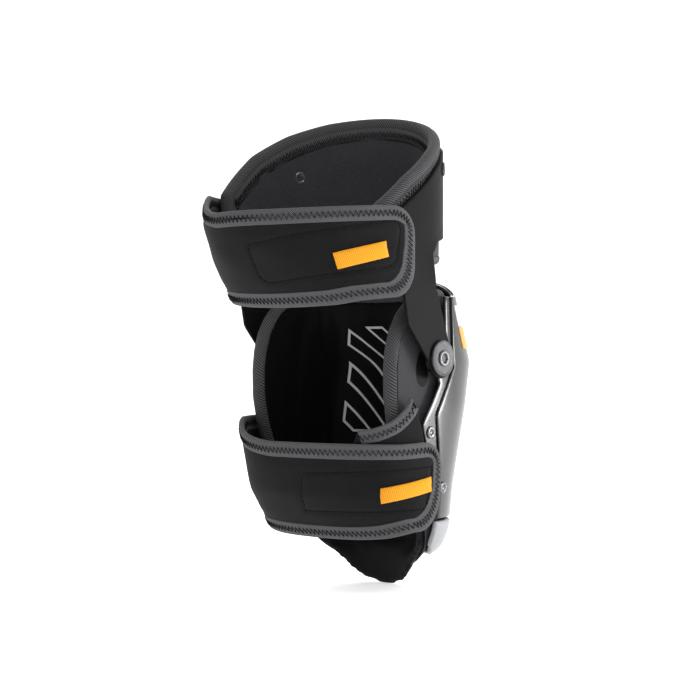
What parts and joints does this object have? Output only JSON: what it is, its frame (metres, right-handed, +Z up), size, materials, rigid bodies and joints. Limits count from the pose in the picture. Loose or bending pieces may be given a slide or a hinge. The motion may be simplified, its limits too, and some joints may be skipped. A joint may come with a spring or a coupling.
{
  "type": "hinged knee pad",
  "caption": "Knee pad with a hard domed cap over a foam and gel pad, hinged to a padded thigh support, held on the leg by two wide hook-and-loop straps.",
  "frame": {"origin": "midpoint of the knee hinge axis, between the two pivots", "axes": "+X along the hinge axis to the wearer's side where the straps are sewn on, -Y out of the knee cap (front), +Z up the thigh"},
  "size_m": [0.2015, 0.256, 0.4272],
  "materials": {
    "hard_shell": "moulded black plastic, satin, fine scuffs",
    "thigh_plastic": "moulded black plastic, matt",
    "lip_plastic": "moulded grey plastic, satin",
    "badge_light": "printed band, plain, satin",
    "badge_amber": "printed band, plain, satin",
    "gel": "clear soft gel",
    "foam": "foam under a knitted skin",
    "twill": "coarse twill weave",
    "knee_lining": "smooth knitted lining, printed with pale outlined bars",
    "thigh_lining": "brushed knitted lining",
    "neoprene": "neoprene with a fine knitted face",
    "binding": "rolled twill tape, zigzag stitched",
    "edge_tape": "soft tape, zigzag stitched",
    "hook_tape": "hook fastener pile",
    "amber_webbing": "woven webbing",
    "pivot_metal": "black coated steel, worn rim",
    "rivet_metal": "black coated steel",
    "bush": "self-lubricating washer"
  },
  "bodies": {
    "knee": {"knee_shell": "hard_shell", "badge_light_band": "badge_light", "badge_amber_band": "badge_amber", "shin_lip": "lip_plastic", "gel_insert": "gel", "knee_foam": "foam", "knee_side_cover": "twill", "knee_liner": "knee_lining", "knee_edge_tape": "edge_tape", "pivot_bush_left": "bush", "pivot_bush_right": "bush", "pivot_backing_washer_left": "pivot_metal", "pivot_backing_washer_right": "pivot_metal", "pivot_pin_left": "pivot_metal", "pivot_pin_right": "pivot_metal", "pivot_disc_left": "pivot_metal", "pivot_disc_right": "pivot_metal", "flange_rivets": "rivet_metal", "shin_strap_anchor": "neoprene", "shin_wing": "neoprene"},
    "thigh": {"thigh_shell": "thigh_plastic", "thigh_foam": "foam", "thigh_liner": "thigh_lining", "thigh_rim_roll": "binding", "thigh_rivets": "rivet_metal", "thigh_rivet_caps": "rivet_metal", "thigh_strap_anchor": "neoprene", "thigh_wing": "neoprene"},
    "thigh_strap": {"thigh_strap": "neoprene", "thigh_strap_edge_tape": "edge_tape", "thigh_hook_patch": "hook_tape", "thigh_pull_tab": "amber_webbing"},
    "shin_strap": {"shin_strap": "neoprene", "shin_strap_edge_tape": "edge_tape", "shin_hook_patch": "hook_tape", "shin_pull_tab": "amber_webbing"}
  },
  "joints": [
    {"name": "thigh_hinge", "type": "hinge", "parent": "knee", "child": "thigh", "pos_m": [0, 0, 0], "axis": [-1, 0, 0], "range_deg": [0, 60], "deforming": ["thigh_strap", "thigh_strap_edge_tape", "thigh_hook_patch", "thigh_pull_tab"]},
    {"name": "thigh_strap_open", "type": "hinge", "parent": "thigh", "child": "thigh_strap", "pos_m": [0.0984, 0.062, 0.095], "axis": [0, 0, -1], "range_deg": [0, 50]},
    {"name": "shin_strap_open", "type": "hinge", "parent": "knee", "child": "shin_strap", "pos_m": [0.09325, 0.0085, -0.101], "axis": [-0.0792, -0.2739, -0.9585], "range_deg": [0, 50]}
  ]
}
